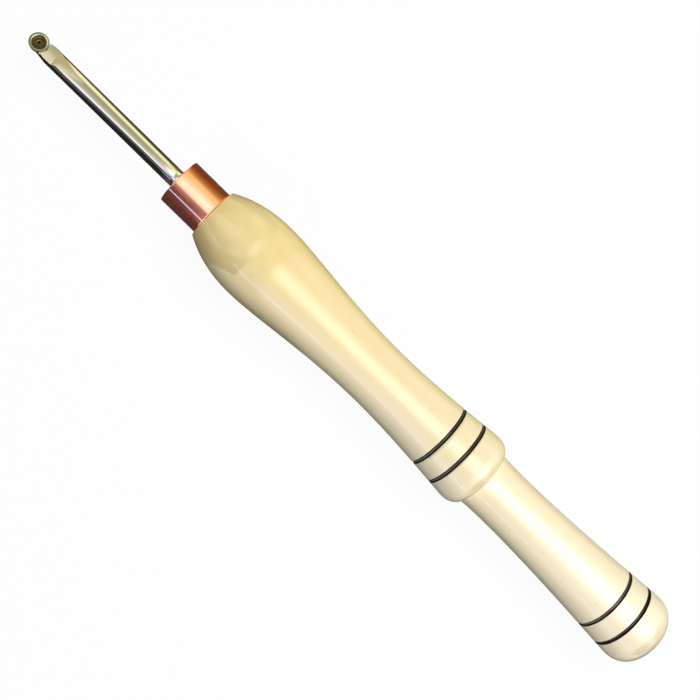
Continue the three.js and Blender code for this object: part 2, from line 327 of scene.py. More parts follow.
# %% Card paint
# Each zone starts to show at one station in millimetres and is full at the other
ZONES = [
    (REAR_BANDS, -470, -250), (MIDDLE_BANDS, -103, -80), (FRONT_BANDS, 5, 32), (FERRULE_BANDS, 84, 93),
    (BAR_BANDS, 123.5, 129), (TIP_BANDS, 198, 206), (SHOULDER_BANDS, 211, 230),
]
# The bar's cards stand further apart at the tip: angles shrink to this share from one station to the other
FLARE = 0.76
FLARE_STARTS = 141.5
FLARE_ENDS = 194


def card_stops(bands):
    """Bands as stops of a Color Ramp that is 0 at -180 degrees and 1 at 180."""
    stops = []
    for angle, colour, strength in bands:
        shade = [channel * strength / BRIGHTEST for channel in linear(colour)[:3]]
        stops.append((angle / 360 + 0.5, (*shade, 1)))
    return stops


card_paint, tree = new_material("graded_card")
card_place = add(tree, "ShaderNodeTexCoord").outputs["Object"]
from_axis = add(tree, "ShaderNodeVectorMath", {0: card_place, 1: spot(0)}, operation="SUBTRACT")
xyz = add(tree, "ShaderNodeSeparateXYZ", {0: from_axis})
angle = add(tree, "ShaderNodeMath", {0: xyz.outputs["Y"], 1: xyz.outputs["Z"]}, operation="ARCTAN2")
across = add(tree, "ShaderNodeVectorMath", {0: from_axis, 1: (0, 1, 1)}, operation="MULTIPLY")
card_reach = add(tree, "ShaderNodeVectorMath", {0: across}, operation="LENGTH").outputs["Value"]
far = add(tree, "ShaderNodeMath", {0: xyz.outputs["X"], 1: CAMERA_DISTANCE * MM}, operation="MULTIPLY")
near = add(tree, "ShaderNodeMath", {0: card_reach, 1: CAMERA_OVER * MM}, operation="MULTIPLY")
weighted = add(tree, "ShaderNodeMath", {0: far, 1: near}, operation="ADD")
weight = add(tree, "ShaderNodeMath", {0: card_reach, 1: CAMERA_DISTANCE * MM}, operation="ADD")
shown_at = add(tree, "ShaderNodeMath", {0: weighted, 1: weight}, operation="DIVIDE")
flare = add(tree, "ShaderNodeMapRange", {
    "Value": shown_at, "From Min": FLARE_STARTS * MM, "From Max": FLARE_ENDS * MM,
    "To Min": 1, "To Max": FLARE,
})
flared = add(tree, "ShaderNodeMath", {0: angle, 1: flare}, operation="MULTIPLY")
turn = add(tree, "ShaderNodeMapRange", {"Value": angle, "From Min": -math.pi, "From Max": math.pi})
flared_turn = add(tree, "ShaderNodeMapRange", {"Value": flared, "From Min": -math.pi, "From Max": math.pi})
glow_colour = add(tree, "ShaderNodeValToRGB", {"Fac": turn}, card_stops(FAR_BANDS))
for bands, start, end in ZONES:
    here = add(tree, "ShaderNodeMapRange", {
        "Value": shown_at, "From Min": start * MM, "From Max": end * MM,
    }, interpolation_type="SMOOTHSTEP")
    turned = flared_turn if bands is BAR_BANDS else turn
    colours = add(tree, "ShaderNodeValToRGB", {"Fac": turned}, card_stops(bands))
    glow_colour = add(tree, "ShaderNodeMix", {
        "Factor": here, "A": glow_colour, "B": colours,
    }, data_type="RGBA")
glow = add(tree, "ShaderNodeEmission", {"Color": glow_colour, "Strength": BRIGHTEST})
add(tree, "ShaderNodeOutputMaterial", {"Surface": glow})
print("card paint has", len(ZONES) + 1, "zones of bands")

# %% Card tunnel
CARD_RADIUS = 700
CARD_LENGTH = 3200
CARD_SIDES = 96
CARD_LIFT = 0.4  # over the floor

bpy.ops.mesh.primitive_cylinder_add(
    vertices=CARD_SIDES, radius=CARD_RADIUS * MM, depth=CARD_LENGTH * MM, end_fill_type="TRIFAN",
    location=spot(0), rotation=(0, math.pi / 2, 0),
)
card = bpy.context.active_object
card.name = "card_tunnel"
bpy.ops.object.transform_apply(location=True, rotation=True, scale=True)
for vertex in card.data.vertices:
    vertex.co.z = max(vertex.co.z, CARD_LIFT * MM)
card.data.materials.append(card_paint)
for kind in ("camera", "diffuse", "transmission", "volume_scatter", "shadow"):
    setattr(card, "visible_" + kind, False)
print("card tunnel has", len(card.data.polygons), "faces")

# %% [markdown]
# ## Lacquered maple
#
# Hard maple is pale cream, with fine fibres along the handle, faint growth rings and a few short darker
# flecks. The blank is yellower at its front, and a lighter stretch on the swell's front slope is painted sheen
# in place of the lacquer's reflection there. The pattern is made first: rings round a pith that lies to one
# side, fibres and flecks from noise that is stretched along the handle, and slow patches.

# %% Maple grain
GROWTH_RING = 6.08  # wider than real ones, so that they show
FIBRE_WIDTH = 0.5  # wider than real ones too
FLECK_WIDTH = 1.1
RING_WANDER = 6  # how far a ring strays from a circle

maple, tree = new_material("lacquered_maple")
place = add(tree, "ShaderNodeTexCoord").outputs["Object"]
along = add(tree, "ShaderNodeSeparateXYZ", {0: place}).outputs["X"]
# The pith lies 47 mm from the axis and runs a little askew to it
to_pith = add(tree, "ShaderNodeMapping", {
    "Vector": place, "Location": spot(0, 24, 40), "Rotation": (0, math.radians(1.6), math.radians(1.1)),
    "Scale": (0.12, 1, 1),
})
wander = add(tree, "ShaderNodeTexNoise", {"Vector": to_pith, "Scale": 55, "Detail": 3})
shift = add(tree, "ShaderNodeVectorMath", {
    0: wander.outputs["Color"], "Scale": RING_WANDER * MM,
}, operation="SCALE")
bent = add(tree, "ShaderNodeVectorMath", {0: to_pith, 1: shift}, operation="ADD")
# A wave texture turns by 20 radians over a length of 1 divided by its scale, and a ring is a full turn
rings = add(tree, "ShaderNodeTexWave", {
    "Vector": bent, "Scale": 2 * math.pi / 20 / (GROWTH_RING * MM),
    "Distortion": 1.4, "Detail": 2, "Detail Scale": 2,
}, wave_type="RINGS", rings_direction="X").outputs["Fac"]
# Fibres are 50 times as long as wide, and flecks 6 times
drawn_out = add(tree, "ShaderNodeMapping", {"Vector": place, "Scale": (1 / 50, 1, 1)})
fibres = add(tree, "ShaderNodeTexNoise", {"Vector": drawn_out, "Scale": 1 / (FIBRE_WIDTH * MM), "Detail": 3})
fleck_shape = add(tree, "ShaderNodeMapping", {"Vector": place, "Scale": (1 / 6, 1, 1)})
flecks = add(tree, "ShaderNodeTexNoise", {
    "Vector": fleck_shape, "Scale": 1 / (FLECK_WIDTH * MM), "Detail": 1,
})
patches = add(tree, "ShaderNodeTexNoise", {"Vector": drawn_out, "Scale": 120, "Detail": 2})
print("maple has growth rings about", GROWTH_RING, "mm apart")

# %% Maple colours
# The share of each tint runs from none to the last number where its pattern runs from the first to the second
TINTS = [
    (patches, 0.35, 0.70, 0.22, "#f3d9a8"), (rings, 0.1, 0.9, 0.12, "#dcbf82"),
    (fibres, 0.35, 0.75, 0.12, "#d8b97c"), (flecks, 0.70, 0.78, 0.22, "#b98f55"),
]
# Colours of the wood by station in millimetres, from the butt to the front. They run yellower towards the
# front, and the lighter stretch from 66 to 86 mm is painted sheen in place of the lacquer's reflection on the
# swell's front slope
WOOD_TONE_AND_SHEEN = [(-220, "#f9efd2"), (-140, "#f8ecca"), (-60, "#f7e7bc"), (0, "#f6e2ab"), (50, "#f5de9c"),
         (66, "#f8e29d"), (76, "#feeba8"), (86, "#fbe6a4"), (96, "#f7e09a")]
BUTT = WOOD_TONE_AND_SHEEN[0][0]
REACH = WOOD_TONE_AND_SHEEN[-1][0] - BUTT

station = add(tree, "ShaderNodeMapRange", {
    "Value": along, "From Min": BUTT * MM, "From Max": (BUTT + REACH) * MM,
})
wood = add(tree, "ShaderNodeValToRGB", {"Fac": station}, [((x - BUTT) / REACH, linear(c)) for x, c in WOOD_TONE_AND_SHEEN])
for pattern, low, high, most, tint in TINTS:
    share = add(tree, "ShaderNodeMapRange", {
        "Value": pattern, "From Min": low, "From Max": high, "To Min": 0, "To Max": most,
    })
    wood = add(tree, "ShaderNodeMix", {"Factor": share, "A": wood, "B": linear(tint)}, data_type="RGBA")
print("maple has", len(TINTS), "tints")

# %% [markdown]
# The four grooves are burnt in by holding a wire to the spinning wood, so they are near black with a crisp
# edge and a narrow brown scorch beside it. The distance to the nearest groove says where. A clear gloss
# lacquer lies over the wood, so the shader has a coat. It sinks into the char, and only a thin line of it is
# left along the bottom.

# %% Burnt grooves and lacquer
GROOVES = [159.4, 172.2, 281.7, 294.8]  # behind the wood's front
GROOVE_WIDTH = 2.2
SCORCH_WIDTH = 0.35

nearest = 1
for groove in GROOVES:
    offset = add(tree, "ShaderNodeMath", {0: along, 1: (WOOD_FRONT - groove) * MM}, operation="SUBTRACT")
    offset = add(tree, "ShaderNodeMath", {0: offset}, operation="ABSOLUTE")
    nearest = add(tree, "ShaderNodeMath", {0: offset, 1: nearest}, operation="MINIMUM")
half = GROOVE_WIDTH / 2
scorched = add(tree, "ShaderNodeMapRange", {
    "Value": nearest, "From Min": (half + SCORCH_WIDTH) * MM, "From Max": half * MM, "To Max": 0.3,
}, interpolation_type="SMOOTHSTEP")
burnt = add(tree, "ShaderNodeMapRange", {
    "Value": nearest, "From Min": (half + 0.04) * MM, "From Max": (half - 0.08) * MM,
})
wood = add(tree, "ShaderNodeMix", {"Factor": scorched, "A": wood, "B": linear("#8a6238")}, data_type="RGBA")
wood = add(tree, "ShaderNodeMix", {"Factor": burnt, "A": wood, "B": linear("#1c100c")}, data_type="RGBA")
dulled = add(tree, "ShaderNodeMapRange", {"Value": burnt, "To Min": 1, "To Max": 0.02})
pooled = add(tree, "ShaderNodeMapRange", {
    "Value": nearest, "From Min": 0.3 * MM, "From Max": 0.2 * MM, "To Max": 0.6,
})
coat = add(tree, "ShaderNodeMath", {0: dulled, 1: pooled}, operation="MAXIMUM")
bump = add(tree, "ShaderNodeBump", {"Height": fibres, "Strength": 0.05, "Distance": 0.03 * MM})
surface = add(tree, "ShaderNodeBsdfPrincipled", {
    "Base Color": wood, "Roughness": 0.45, "IOR": 1.5, "Specular IOR Level": 0.01, "Normal": bump,
    "Coat Weight": coat, "Coat Roughness": 0.1, "Coat IOR": 1.5,
})
add(tree, "ShaderNodeOutputMaterial", {"Surface": surface})
print("maple has", len(tree.nodes), "nodes")

# %% [markdown]
# ## Copper, steel and carbide
#
# The ferrule is a slice of copper tube, turned and polished on the lathe, so very fine lines run round it.
# The bar is stainless steel with a polished skin. Its nose is milled and then ground, which leaves a duller
# face with marks across it. All three patterns are drawn coarser than the real marks, so that they show.

# %% Polished copper
COPPER_LINES = 0.15  # between the polishing lines round the tube

copper, tree = new_material("polished_copper")
place = add(tree, "ShaderNodeTexCoord").outputs["Object"]
round_lines = add(tree, "ShaderNodeMapping", {"Vector": place, "Scale": (1, 1 / 30, 1 / 30)})
lines = add(tree, "ShaderNodeTexNoise", {
    "Vector": round_lines, "Scale": 1 / (COPPER_LINES * MM), "Detail": 2,
})
handling = add(tree, "ShaderNodeTexNoise", {"Vector": place, "Scale": 90, "Detail": 3})
share = add(tree, "ShaderNodeMapRange", {"Value": handling, "From Min": 0.35, "From Max": 0.7, "To Max": 0.4})
skin = add(tree, "ShaderNodeMix", {
    "Factor": share, "A": linear("#e39a7b"), "B": linear("#dc906e"),
}, data_type="RGBA")
gloss = add(tree, "ShaderNodeMapRange", {
    "Value": handling, "From Min": 0.3, "From Max": 0.7, "To Min": 0.09, "To Max": 0.13,
})
bump = add(tree, "ShaderNodeBump", {"Height": lines, "Strength": 0.04, "Distance": 0.02 * MM})
surface = add(tree, "ShaderNodeBsdfPrincipled", {
    "Base Color": skin, "Metallic": 1, "Roughness": gloss, "Normal": bump,
})
add(tree, "ShaderNodeOutputMaterial", {"Surface": surface})
print("copper has", len(tree.nodes), "nodes")

# %% Polished stainless
BAR_LINES = 0.11  # between the polishing lines along the bar

stainless, tree = new_material("polished_stainless")
place = add(tree, "ShaderNodeTexCoord").outputs["Object"]
long_lines = add(tree, "ShaderNodeMapping", {"Vector": place, "Scale": (1 / 50, 1, 1)})
lines = add(tree, "ShaderNodeTexNoise", {"Vector": long_lines, "Scale": 1 / (BAR_LINES * MM), "Detail": 2})
handling = add(tree, "ShaderNodeTexNoise", {"Vector": place, "Scale": 120, "Detail": 3})
skin = add(tree, "ShaderNodeMix", {
    "Factor": handling, "A": linear("#d2cfc7"), "B": linear("#ccc9c0"),
}, data_type="RGBA")
gloss = add(tree, "ShaderNodeMapRange", {
    "Value": handling, "From Min": 0.3, "From Max": 0.7, "To Min": 0.06, "To Max": 0.1,
})
bump = add(tree, "ShaderNodeBump", {"Height": lines, "Strength": 0.03, "Distance": 0.01 * MM})
surface = add(tree, "ShaderNodeBsdfPrincipled", {
    "Base Color": skin, "Metallic": 1, "Roughness": gloss, "Normal": bump,
})
add(tree, "ShaderNodeOutputMaterial", {"Surface": surface})
print("polished stainless has", len(tree.nodes), "nodes")

# %% Ground stainless
WHEEL_MARKS = 0.25  # between the marks that the wheel leaves across the bar

ground, tree = new_material("ground_stainless")
place = add(tree, "ShaderNodeTexCoord").outputs["Object"]
cross_marks = add(tree, "ShaderNodeMapping", {"Vector": place, "Scale": (1, 1 / 16, 1 / 3)})
marks = add(tree, "ShaderNodeTexNoise", {"Vector": cross_marks, "Scale": 1 / (WHEEL_MARKS * MM), "Detail": 2})
skin = add(tree, "ShaderNodeMix", {
    "Factor": marks, "A": linear("#d4d0c4"), "B": linear("#cac5b6"),
}, data_type="RGBA")
bump = add(tree, "ShaderNodeBump", {"Height": marks, "Strength": 0.02, "Distance": 0.01 * MM})
surface = add(tree, "ShaderNodeBsdfPrincipled", {
    "Base Color": skin, "Metallic": 1, "Roughness": 0.16, "Normal": bump,
})
add(tree, "ShaderNodeOutputMaterial", {"Surface": surface})
print("ground stainless has", len(tree.nodes), "nodes")

# %% [markdown]
# The cutter is sintered carbide. Its dish is left as it came from the furnace, grey-brown and grainy, with
# painted shade on its wall, and the rim round it is ground bright, with a painted dark line at its outer edge.
# All of that goes by the distance from its middle, so one ramp of colours paints it. The screw is plated steel,
# with painted shade in its socket and a painted highlight on the ring round it, and it is painted in the same
# way.

# %% Colours by the distance from the cutter's middle
def round_paint(tree, place, colours):
    """The distance from the cutter's upright axis, and a ramp of colours at distances in millimetres."""
    centred = add(tree, "ShaderNodeVectorMath", {0: place, 1: spot(CUTTER)}, operation="SUBTRACT")
    flat_place = add(tree, "ShaderNodeVectorMath", {0: centred, 1: (1, 1, 0)}, operation="MULTIPLY")
    distance = add(tree, "ShaderNodeVectorMath", {0: flat_place}, operation="LENGTH").outputs["Value"]
    outermost = colours[-1][0]
    share = add(tree, "ShaderNodeMapRange", {"Value": distance, "From Max": outermost * MM})
    stops = [(radius / outermost, linear(colour)) for radius, colour in colours]
    return distance, add(tree, "ShaderNodeValToRGB", {"Fac": share}, stops)


CUTTER_RADIUS = 5
DISH_EDGE = 3.8  # the dish ends here, and the ground rim starts
# The dish's wall, from 3.1 to 3.65 mm, is painted dark as shade, and the last stops darken the outer edge as a
# painted dark line
DISH_TONE_AND_SHADE = [(0, "#564e38"), (2.95, "#564e38"), (3.1, "#332a1c"), (3.65, "#2a2218"), (3.78, "#b8b49e"),
        (4.12, "#b8b49e"), (4.26, "#8c8870"), (4.75, "#989480"), (4.9, "#706c5a"), (CUTTER_RADIUS, "#605c4c")]
# The socket painted near black as shade, the ring round it lighter as a painted highlight on its chamfer, then
# the plating
HEAD_PLATING_AND_PAINTED_LIGHT = [(0, "#100c06"), (0.84, "#140f08"), (0.95, "#5c523a"), (1.18, "#5c523a"), (1.28, "#38301e"),
           (1.7, "#4a422c"), (2.1, "#443c28"), (2.2, "#5c5440")]
print("the dish ends at", DISH_EDGE, "mm and the screw's head at", HEAD_PLATING_AND_PAINTED_LIGHT[-1][0])

# %% Sintered carbide
GRAIN = 0.4  # of the sintered floor, coarser than the real grit so that it shows

carbide, tree = new_material("sintered_carbide")
place = add(tree, "ShaderNodeTexCoord").outputs["Object"]
distance, dish_colour_and_shade = round_paint(tree, place, DISH_TONE_AND_SHADE)
grains = add(tree, "ShaderNodeTexNoise", {"Vector": place, "Scale": 1 / (GRAIN * MM), "Detail": 4})
in_dish = add(tree, "ShaderNodeMapRange", {
    "Value": distance, "From Min": DISH_EDGE * MM, "From Max": 3.65 * MM, "To Min": 0, "To Max": 1,
})
speckle = add(tree, "ShaderNodeMapRange", {
    "Value": grains, "From Min": 0.36, "From Max": 0.62, "To Max": 0.75,
})
speckle = add(tree, "ShaderNodeMath", {0: speckle, 1: in_dish}, operation="MULTIPLY")
skin = add(tree, "ShaderNodeMix", {
    "Factor": speckle, "A": dish_colour_and_shade, "B": linear("#3c3422"),
}, data_type="RGBA")
gloss = add(tree, "ShaderNodeMapRange", {"Value": in_dish, "To Min": 0.18, "To Max": 0.42})
relief = add(tree, "ShaderNodeMath", {0: grains, 1: in_dish}, operation="MULTIPLY")
bump = add(tree, "ShaderNodeBump", {"Height": relief, "Strength": 0.4, "Distance": 0.06 * MM})
surface = add(tree, "ShaderNodeBsdfPrincipled", {
    "Base Color": skin, "Metallic": 1, "Roughness": gloss, "Normal": bump,
})
add(tree, "ShaderNodeOutputMaterial", {"Surface": surface})
print("carbide has", len(tree.nodes), "nodes")

# %% Plated screw steel
WEAR = 1 / 1.8  # the size of the worn spots

screw_steel, tree = new_material("plated_screw_steel")
place = add(tree, "ShaderNodeTexCoord").outputs["Object"]
_, head_colour_and_light = round_paint(tree, place, HEAD_PLATING_AND_PAINTED_LIGHT)
wear = add(tree, "ShaderNodeTexNoise", {"Vector": place, "Scale": 1 / (WEAR * MM), "Detail": 3})
worn = add(tree, "ShaderNodeMapRange", {"Value": wear, "From Min": 0.35, "From Max": 0.7, "To Max": 0.35})
skin = add(tree, "ShaderNodeMix", {"Factor": worn, "A": head_colour_and_light, "B": linear("#6a6046")}, data_type="RGBA")
bump = add(tree, "ShaderNodeBump", {"Height": wear, "Strength": 0.2, "Distance": 0.03 * MM})
surface = add(tree, "ShaderNodeBsdfPrincipled", {
    "Base Color": skin, "Metallic": 1, "Roughness": 0.3, "Normal": bump,
})
add(tree, "ShaderNodeOutputMaterial", {"Surface": surface})
print("screw steel has", len(tree.nodes), "nodes")

# %% [markdown]
# ## Helpers for modelling
#
# Blender's operators act on whatever is selected, so the first helper selects one piece alone, and the second
# picks vertices, edges or faces of it by a test. Nearly every piece here was turned on a lathe, so the next
# two do what a turner does: one draws an outline, and the other spins it about an axis. The last one finishes
# a piece, hides the one of the imported model that it stands for, and hangs it on the body that it rides on.

# %% Selecting
def only(piece):
    """Selects one object and makes it the active one."""
    bpy.ops.object.select_all(action="DESELECT")
    piece.select_set(True)
    bpy.context.view_layer.objects.active = piece


def choose(piece, kind, test):
    """In edit mode, selects the VERT, EDGE or FACE parts of a piece that pass a test."""
    bpy.ops.mesh.select_mode(type=kind)
    bpy.ops.mesh.select_all(action="DESELECT")
    mesh = bmesh.from_edit_mesh(piece.data)
    parts = {"VERT": mesh.verts, "EDGE": mesh.edges, "FACE": mesh.faces}[kind]
    for part in parts:
        if test(part):
            part.select_set(True)
    bmesh.update_edit_mesh(piece.data)


# %% Drawing an outline and spinning it
WELD = 0.001 * MM  # points closer than this become one


def draw(name, splines):
    """Draws splines as wire and stays in edit mode. Each spline is a list and the number of steps in a curve.

    The list holds places for a straight line, or (place, handle before, handle after) for a curve.
    """
    bpy.ops.object.select_all(action="DESELECT")
    bpy.ops.curve.primitive_bezier_curve_add()
    wire = bpy.context.active_object
    wire.name = name
    wire.data.splines.clear()
    for places, steps in splines:
        if isinstance(places[0], Vector):
            spline = wire.data.splines.new("POLY")
            spline.points.add(len(places) - 1)
            for point, where in zip(spline.points, places):
                point.co = (*where, 1)
            continue
        spline = wire.data.splines.new("BEZIER")
        spline.resolution_u = steps
        spline.bezier_points.add(len(places) - 1)
        for point, (where, before, after) in zip(spline.bezier_points, places):
            point.handle_left_type = point.handle_right_type = "FREE"
            point.co, point.handle_left, point.handle_right = where, before, after
    bpy.ops.object.convert(target="MESH")
    bpy.ops.object.mode_set(mode="EDIT")
    bpy.ops.mesh.select_all(action="SELECT")
    bpy.ops.mesh.remove_doubles(threshold=WELD)
    return wire


def spin(piece, steps, centre, axis):
    """In edit mode, spins the outline a full turn and closes the skin."""
    bpy.ops.mesh.select_all(action="SELECT")
    bpy.ops.mesh.spin(steps=steps, angle=2 * math.pi, center=centre, axis=axis)
    bpy.ops.mesh.select_all(action="SELECT")
    bpy.ops.mesh.remove_doubles(threshold=WELD)
    bpy.ops.mesh.normals_make_consistent(inside=False)
    bpy.ops.object.mode_set(mode="OBJECT")


def finish_piece(piece, material, node, body, smooth=30):
    """Smooths a piece, hides the CAD node it stands for, hangs it on what it rides on, and gives it a material
    if it has none.
    """
    only(piece)
    if not piece.data.materials:
        piece.data.materials.append(material)
    bpy.ops.object.shade_smooth_by_angle(angle=math.radians(smooth), keep_sharp_edges=True)
    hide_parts(node)
    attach(piece, body)
    size = [round(v / MM, 2) for v in piece.dimensions]
    print(f"{piece.name}: {len(piece.data.polygons)} faces, {size} mm")


# %% [markdown]
# ## The handle
#
# A turner makes the handle from one outline, so it is drawn as one: a Bezier curve through the places where
# the outline is thickest or thinnest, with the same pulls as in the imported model. The hidden tenon and the
# bore for the bar's tang are straight lines. The grooves are cut into the outline before it is spun, each as
# a row of cuts that are then pressed in to a flat bottom with sloping walls.

# %% Handle outline
HANDLE_LENGTH = 317.1
FRONT_RADIUS = 14.4
OUTSIDE = [  # (behind the wood's front, radius), each with its curve handles before and after
    ((0, FRONT_RADIUS), (0, FRONT_RADIUS), (14.6, 23.1)),
    ((33.4, AXIS), (31.1, AXIS), (51.8, AXIS)),  # the swell is what the tool lies on
    ((115.7, 16.8), (79.4, 16.8), (145.6, 16.8)),
    ((182.2, 21), (178, 21), (187.2, 21)),
    ((190.8, 16.1), (189.6, 18.9), (193.8, 15.75)),
    ((206.7, 15.5), (201.2, 15.5), (246.2, 15.5)),
    ((302.8, 20.3), (298.6, 20.3), (310.8, 20.3)),
    ((HANDLE_LENGTH, 0), (HANDLE_LENGTH, 16), (HANDLE_LENGTH, 0)),
]
BORE_RADIUS = 6.65
BORE_END = 78
DRILL_POINT = 4
TENON_RADIUS = 10.8
TENON_LENGTH = 22.5
TENON_CHAMFER = 0.8
OUTLINE_STEPS = 20


def wood_spot(behind, radius):
    return spot(WOOD_FRONT - behind, 0, radius)


outside = [[wood_spot(*point) for point in points] for points in OUTSIDE]
inside = [wood_spot(*point) for point in (
    (BORE_END + DRILL_POINT, 0), (BORE_END, BORE_RADIUS), (-TENON_LENGTH, BORE_RADIUS),
    (-TENON_LENGTH, TENON_RADIUS - TENON_CHAMFER), (TENON_CHAMFER - TENON_LENGTH, TENON_RADIUS),
    (0, TENON_RADIUS), (0, FRONT_RADIUS),
)]
handle = draw("turned_handle", [(outside, OUTLINE_STEPS), (inside, 1)])
print("outline has", len(bmesh.from_edit_mesh(handle.data).verts), "points")

# %% Grooves in the outline
# Cuts across a groove as (place from -1 at its front edge to 1 at its rear edge, depth)
GROOVE_CUTS = [(-1, 0), (-0.78, 0.22), (-0.54, 0.42), (-0.3, 0.5), (0, 0.5),
               (0.3, 0.5), (0.54, 0.42), (0.78, 0.22), (1, 0)]

cuts = [
    (wood_spot(groove + across * GROOVE_WIDTH / 2, 0), depth)
    for groove in GROOVES for across, depth in GROOVE_CUTS
]
for where, depth in cuts:
    bpy.ops.mesh.select_all(action="SELECT")
    bpy.ops.mesh.bisect(plane_co=where, plane_no=(1, 0, 0))
outer = spot(0, 0, TENON_RADIUS).z  # over this lies the outside, and not the bore
for where, depth in cuts:
    if depth:
        choose(handle, "VERT", lambda v: abs(v.co.x - where.x) < 0.01 * MM and v.co.z > outer)
        bpy.ops.transform.translate(value=(0, 0, -depth * MM))
print(len(cuts), "cuts for", len(GROOVES), "grooves")

# %% Spin the handle
HANDLE_SIDES = 144

spin(handle, HANDLE_SIDES, spot(0), (1, 0, 0))
finish_piece(handle, maple, "handle", "tool", smooth=40)

# %% [markdown]
# ## The ferrule
#
# The ferrule is a length of tube. An open cylinder gets its wall from a Solidify modifier, and a Bevel rounds
# the edges that the turner broke with a file.

# %% Ferrule
FERRULE_RADIUS = 12.7
FERRULE_WALL = 1.6
FERRULE_BACK = 0.2  # the line between the copper and the wood
FERRULE_SIDES = 160
FILED_EDGE = 0.25

length = FERRULE_LENGTH - FERRULE_BACK
bpy.ops.object.select_all(action="DESELECT")
bpy.ops.mesh.primitive_cylinder_add(
    vertices=FERRULE_SIDES, radius=FERRULE_RADIUS * MM, depth=length * MM, end_fill_type="NOTHING",
    location=spot(FERRULE_FRONT - length / 2), rotation=(0, math.pi / 2, 0),
)
ferrule = bpy.context.active_object
ferrule.name = "copper_ferrule"
bpy.ops.object.transform_apply(location=True, rotation=True, scale=True)
# Rings close to both ends keep the rounded edges from bending the shading of the wall between them
only(ferrule)
bpy.ops.object.mode_set(mode="EDIT")
for inset in (0.5, 1, length - 1, length - 0.5):
    bpy.ops.mesh.select_all(action="SELECT")
    bpy.ops.mesh.bisect(plane_co=spot(FERRULE_FRONT - inset), plane_no=(1, 0, 0))
bpy.ops.object.mode_set(mode="OBJECT")
wall = ferrule.modifiers.new("wall", "SOLIDIFY")
wall.thickness = FERRULE_WALL * MM
wall.offset = -1
bpy.ops.object.modifier_apply(modifier="wall")
edges = ferrule.modifiers.new("edges", "BEVEL")
edges.width = FILED_EDGE * MM
edges.segments = 4
edges.angle_limit = math.radians(60)
bpy.ops.object.modifier_apply(modifier="edges")
finish_piece(ferrule, copper, "ferrule", "tool")

# %% [markdown]
# ## The bar
#
# The bar is the most skilful piece. It starts as a turned blank with a thick tang, and then the mill shapes
# its nose: a flat on top with a long run-out, a flat below for the tool rest that rises under the nose, a
# rounded nose seen from above, the cutter's pocket and the screw's hole. Each of those is a Boolean with a
# shape that stands for the mill's sweep. These shapes carry the ground finish, and a Boolean hands it on to
# the faces that it leaves.

# %% Bar blank
BAR_RADIUS = 4.7625
BAR_SIDES = 192
TANG_RADIUS = 6.35
TANG_LENGTH = 100
TANG_CHAMFER = 1
FILLET_STEPS = 8
RING_SPACING = 2
SPARE = 10  # the blank reaches this far past the cutter's middle

fillet = TANG_RADIUS - BAR_RADIUS
tang_end = FERRULE_FRONT - TANG_LENGTH
round_start = FERRULE_FRONT + fillet
round_length = CUTTER + SPARE - round_start
blank_line = [
    spot(tang_end), spot(tang_end, 0, TANG_RADIUS - TANG_CHAMFER),
    spot(tang_end + TANG_CHAMFER, 0, TANG_RADIUS), spot(FERRULE_FRONT, 0, TANG_RADIUS),
]
for step in range(1, FILLET_STEPS + 1):
    part = step / FILLET_STEPS
    radius = TANG_RADIUS - fillet * (2 * part - part ** 2)
    blank_line.append(spot(FERRULE_FRONT + fillet * part ** 2, 0, radius))
ring_count = round(round_length / RING_SPACING)
for ring in range(1, ring_count + 1):
    blank_line.append(spot(round_start + round_length * ring / ring_count, 0, BAR_RADIUS))
blank_line.append(spot(round_start + round_length))
bar = draw("steel_bar", [(blank_line, 1)])
spin(bar, BAR_SIDES, spot(0), (1, 0, 0))
bar.data.materials.append(stainless)
bar.data.materials.append(ground)
print("the blank has", ring_count, "rings along its round part")

# %% The mill
def mill(piece, sweep, operation="DIFFERENCE"):
    """Cuts a piece with a closed shape that is then thrown away."""
    for material in (stainless, ground):
        sweep.data.materials.append(material)
    for face in sweep.data.polygons:
        face.material_index = 1
    only(piece)
    boolean = piece.modifiers.new("cut", "BOOLEAN")
    boolean.object, boolean.operation, boolean.solver = sweep, operation, "EXACT"
    boolean.material_mode = "INDEX"
    bpy.ops.object.modifier_apply(modifier="cut")
    print(sweep.name, "leaves", len(piece.data.polygons), "faces")
    bpy.data.objects.remove(sweep)


def slab(name, splines, direction, steps=1):
    """A flat outline drawn as wire, filled and pushed out into a solid in equal steps."""
    wire = draw(name, splines)
    bpy.ops.mesh.select_all(action="SELECT")
    bpy.ops.mesh.edge_face_add()
    for step in range(steps):
        bpy.ops.mesh.extrude_region_move(TRANSFORM_OT_translate={"value": Vector(direction) / steps})
    bpy.ops.mesh.select_all(action="SELECT")
    bpy.ops.mesh.normals_make_consistent(inside=False)
    bpy.ops.object.mode_set(mode="OBJECT")
    return wire


CUT_WIDTH = 12


def nose_spot(behind, over):
    """A place on the right side of the cut, behind the cutter's middle and over the axis."""
    return spot(CUTTER - behind, -CUT_WIDTH / 2, over)


# %% The flat on top and its run-out
FLAT = 2.6  # over the axis
FLAT_START = 10.6  # behind the cutter's middle, as are all places here
RUN_OUT_START = 31.5
CLEAR = 10  # well over the bar
CROWN = 0.14  # the wheel leaves the face a little crowned: lower by this much at 4 mm from the middle

